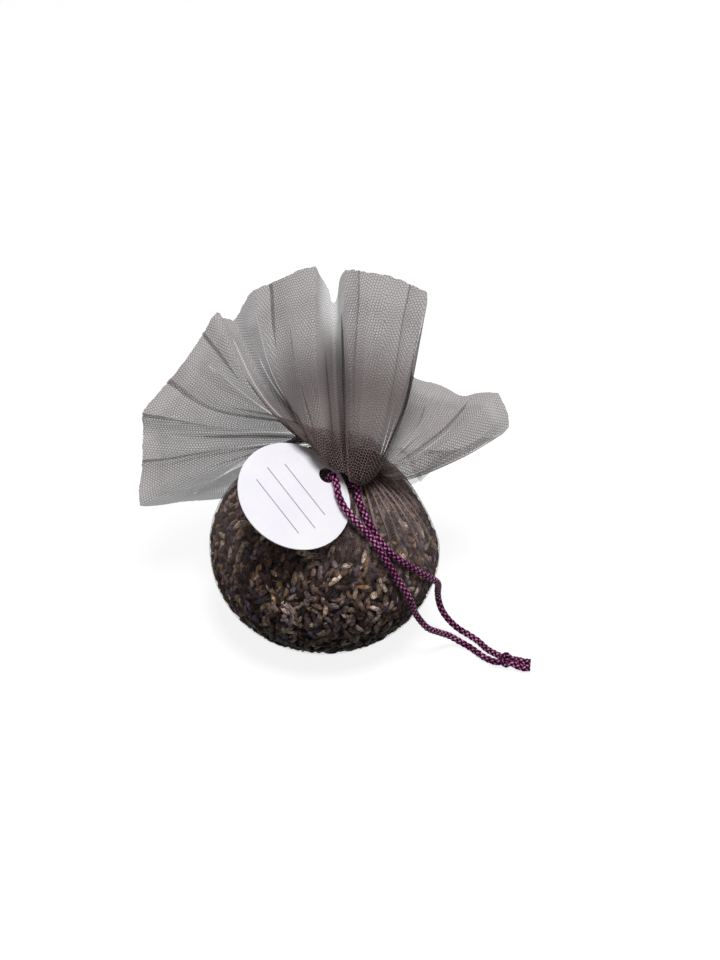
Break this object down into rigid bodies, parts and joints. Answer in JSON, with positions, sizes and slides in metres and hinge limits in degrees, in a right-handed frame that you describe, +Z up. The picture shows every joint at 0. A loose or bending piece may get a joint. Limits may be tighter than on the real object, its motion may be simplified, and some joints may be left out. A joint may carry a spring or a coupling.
{
  "type": "lavender sachet",
  "caption": "Round pouch of dried lavender in a net cloth, gathered at the neck by a tied cord under a flared ruff, with a round card tag on the cord; scents drawers and linen.",
  "frame": {"origin": "centre of the flat that the pouch rests on, on the table", "axes": "+Z up, +X to the right seen from the tag's side, +Y away from that side, towards which the ruff leans"},
  "size_m": [0.1328, 0.0951, 0.1256],
  "materials": {
    "tulle_pouch": "fine taupe net, see-through over the buds",
    "tulle_ruff": "fine taupe net in loose folds",
    "lavender": "dried lavender buds, matt brown and grey-violet",
    "cord": "dark purple braided cord with a soft sheen",
    "card": "matt white card"
  },
  "bodies": {
    "sachet": {"tulle_pouch": "tulle_pouch", "tulle_ruff": "tulle_ruff", "lavender_fill": "lavender", "cord_neck_winding": "cord", "cord_neck_knot": "cord", "cord_strand_left": "cord", "cord_strand_right": "cord", "cord_end_knot": "cord", "cord_tail_left": "cord", "cord_tail_right": "cord"},
    "tag": {"tag": "card"}
  },
  "joints": [
    {"name": "tag_swing", "type": "hinge", "parent": "sachet", "child": "tag", "pos_m": [0.00155, -0.009, 0.0665], "axis": [0.3629, -0.3639, 0.8578], "range_deg": [-12, 3]}
  ]
}
